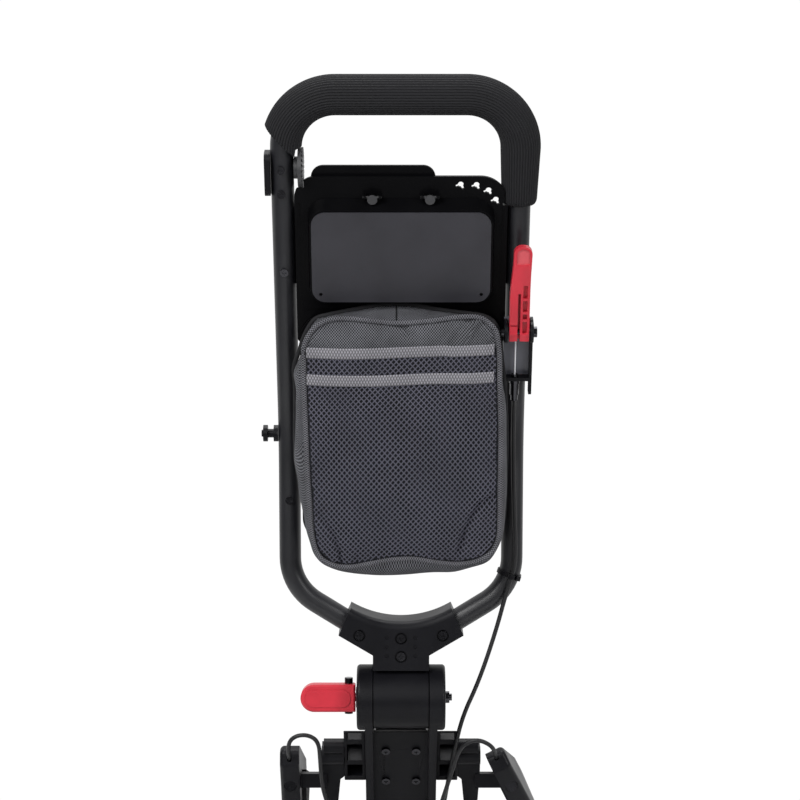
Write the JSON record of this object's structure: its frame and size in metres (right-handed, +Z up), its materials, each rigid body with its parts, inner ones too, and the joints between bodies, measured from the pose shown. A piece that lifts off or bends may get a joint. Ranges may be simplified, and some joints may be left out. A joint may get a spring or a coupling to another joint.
{
  "type": "golf push cart",
  "caption": "Folding three-wheel golf push cart with a leaning handle loop, console, mesh storage bag, hinge clamp, bag cradles and parking brake lever.",
  "frame": {"origin": "on the floor under the middle of the cart's outer box", "axes": "+X to the right of the person pushing, +Y the way the cart rolls forward, +Z up"},
  "size_m": [0.612, 1.01, 1.2081],
  "materials": {
    "black_tube": "satin black powder coat on aluminium tube",
    "black_plastic": "moulded glass filled nylon",
    "grip_foam": "ribbed foam rubber",
    "lid_grey": "grained dark grey",
    "bag_fabric": "woven polyester with a net pocket",
    "red_plastic": "moulded red",
    "grey_plastic": "moulded grey",
    "steel": "zinc plated",
    "black_steel": "black oxide",
    "cord": "covered elastic cord",
    "pad_rubber": "soft pad",
    "tyre": "solid foam tyre",
    "rim": "moulded dark grey"
  },
  "bodies": {
    "frame": {"hinge_housing": "black_plastic", "housing_screws": "black_steel", "spine_tube": "black_tube", "hinge_skewer": "black_steel", "skewer_washer": "black_steel", "cable_gland": "black_plastic", "bracket_yoke": "black_plastic", "bracket_link_left": "black_plastic", "bracket_link_right": "black_plastic", "bracket_arm_left": "black_plastic", "bracket_arm_right": "black_plastic", "arm_pad_left": "pad_rubber", "arm_pad_right": "pad_rubber", "arm_bolts": "black_steel", "bungee_left": "cord", "bungee_right": "cord", "leg_yoke": "black_plastic", "leg_pins": "steel", "front_block": "black_plastic", "front_pivot_pin": "steel", "lower_cradle": "black_plastic"},
    "handle": {"handle_tube": "black_tube", "grip": "grip_foam", "tube_screws": "black_steel", "yoke_front": "black_plastic", "yoke_rear": "black_plastic", "yoke_screws": "black_steel", "hinge_barrel": "black_plastic", "console_tray": "black_plastic", "lid_pins": "steel", "clip_plate": "black_plastic", "bag_backing": "black_plastic", "storage_bag": "bag_fabric", "accessory_disc": "grey_plastic", "accessory_plate": "black_plastic", "strap_post": "black_plastic", "brake_bracket": "grey_plastic", "brake_pivot_bolt": "black_steel", "cable_adjuster": "black_steel", "brake_cable": "cord", "cable_tie": "black_plastic"},
    "lid": {"console_lid": "black_plastic", "lid_panel": "lid_grey"},
    "brake": {"brake_lever": "red_plastic"},
    "clamp": {"clamp_lever": "red_plastic", "clamp_pin": "black_steel"},
    "front_fork": {"front_arm": "black_tube", "front_axle": "steel"},
    "front_wheel": {"front_tyre": "tyre", "front_rim": "rim"},
    "left_leg": {"leg_left": "black_tube", "axle_left": "steel"},
    "right_leg": {"leg_right": "black_tube", "axle_right": "steel"},
    "left_wheel": {"tyre_left": "tyre", "rim_left": "rim"},
    "right_wheel": {"tyre_right": "tyre", "rim_right": "rim"}
  },
  "joints": [
    {"name": "handle_fold", "type": "hinge", "parent": "frame", "child": "handle", "pos_m": [0, -0.129, 0.51], "axis": [1, 0, 0], "range_deg": [-75, 50], "deforming": ["brake_cable"]},
    {"name": "clamp_open", "type": "hinge", "parent": "frame", "child": "clamp", "pos_m": [-0.061, -0.129, 0.51], "axis": [0, 0, 1], "range_deg": [-90, 0]},
    {"name": "lid_open", "type": "hinge", "parent": "handle", "child": "lid", "pos_m": [0, -0.28933, 1.07994], "axis": [1, 0, 0], "range_deg": [-100, 0]},
    {"name": "brake_pull", "type": "hinge", "parent": "handle", "child": "brake", "pos_m": [0.13, -0.23357, 0.93577], "axis": [1, 0, 0], "range_deg": [0, 60]},
    {"name": "front_fold", "type": "hinge", "parent": "frame", "child": "front_fork", "pos_m": [0, 0.09158, 0.17034], "axis": [1, 0, 0], "range_deg": [-130, 0]},
    {"name": "front_spin", "type": "hinge", "parent": "front_fork", "child": "front_wheel", "pos_m": [0, 0.385, 0.12], "axis": [1, 0, 0], "continuous": true},
    {"name": "left_fold", "type": "hinge", "parent": "frame", "child": "left_leg", "pos_m": [-0.054, -0.00123, 0.29489], "axis": [0, 0.5446, -0.8387], "range_deg": [-25, 0]},
    {"name": "right_fold", "type": "hinge", "parent": "frame", "child": "right_leg", "pos_m": [0.054, -0.00123, 0.29489], "axis": [0, 0.5446, -0.8387], "range_deg": [0, 25]},
    {"name": "left_spin", "type": "hinge", "parent": "left_leg", "child": "left_wheel", "pos_m": [-0.275, -0.359, 0.146], "axis": [1, 0, 0], "continuous": true},
    {"name": "right_spin", "type": "hinge", "parent": "right_leg", "child": "right_wheel", "pos_m": [0.275, -0.359, 0.146], "axis": [1, 0, 0], "continuous": true}
  ],
  "couplings": [
    {"joint": "right_fold", "follows": "left_fold", "ratio": -1}
  ]
}
